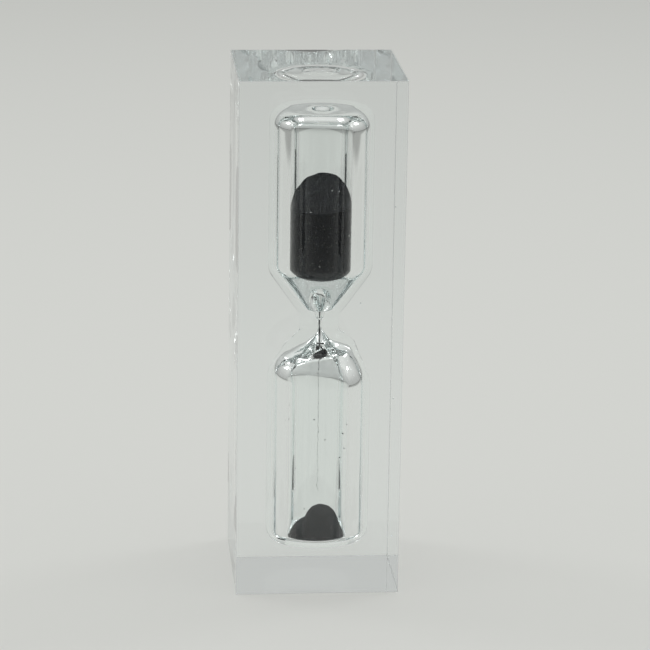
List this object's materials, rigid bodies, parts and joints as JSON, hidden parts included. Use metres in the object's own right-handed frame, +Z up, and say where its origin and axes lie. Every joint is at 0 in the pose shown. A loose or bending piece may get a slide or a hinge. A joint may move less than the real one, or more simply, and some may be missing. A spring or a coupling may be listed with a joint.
{
  "type": "acrylic sand timer",
  "caption": "Clear acrylic bar with a sealed two-bulb glass ampoule inside, in which black sand runs through a narrow throat to time an interval.",
  "frame": {"origin": "centre of the bar's base", "axes": "+Z up along the bar, +X right and +Y away from the viewer of the front face"},
  "size_m": [0.025, 0.025, 0.08],
  "materials": {
    "clear_acrylic": "clear cast acrylic with polished faces",
    "clear_glass": "clear flame-worked glass",
    "black_sand": "fine matt black sand"
  },
  "bodies": {
    "root": {"acrylic_block": "clear_acrylic", "glass_ampoule": "clear_glass", "upper_sand": "black_sand", "sand_thread": "black_sand", "falling_grains": "black_sand", "lower_sand": "black_sand", "clinging_grains": "black_sand"}
  },
  "joints": []
}
